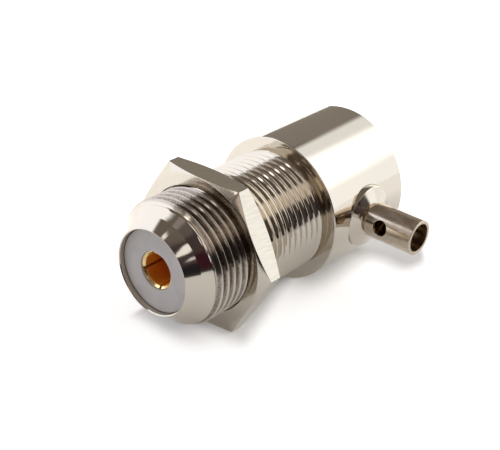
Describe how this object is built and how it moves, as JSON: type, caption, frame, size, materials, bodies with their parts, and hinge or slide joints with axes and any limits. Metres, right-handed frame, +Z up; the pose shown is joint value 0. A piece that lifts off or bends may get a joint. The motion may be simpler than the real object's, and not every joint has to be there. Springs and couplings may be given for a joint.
{
  "type": "right-angle coaxial jack",
  "caption": "Right-angle panel-mounting coaxial jack with a threaded barrel, hexagon nut, round housing and a side ferrule for soldered cable.",
  "frame": {"origin": "where the connector's axis meets the mounting shoulder", "axes": "+Z up as it lies, -Y out of the mating face along the threaded barrel, +X out along the cable ferrule"},
  "size_m": [0.0282, 0.0367, 0.019],
  "materials": {
    "nickel_plate": "polished nickel plate on brass",
    "ptfe": "plain",
    "bare_brass": "machined",
    "gold_plate": "gold plate"
  },
  "bodies": {
    "jack": {"body": "nickel_plate", "front_insulator": "ptfe", "rear_insulator": "ptfe", "retaining_ring": "bare_brass", "centre_contact": "gold_plate", "cable_ferrule": "nickel_plate", "rear_cap": "nickel_plate"},
    "nut": {"panel_nut": "nickel_plate"}
  },
  "joints": [
    {"name": "nut_travel", "type": "slide", "parent": "jack", "child": "nut", "axis": [0, 1, 0], "range_m": [-0.00423, 0.01164]}
  ]
}
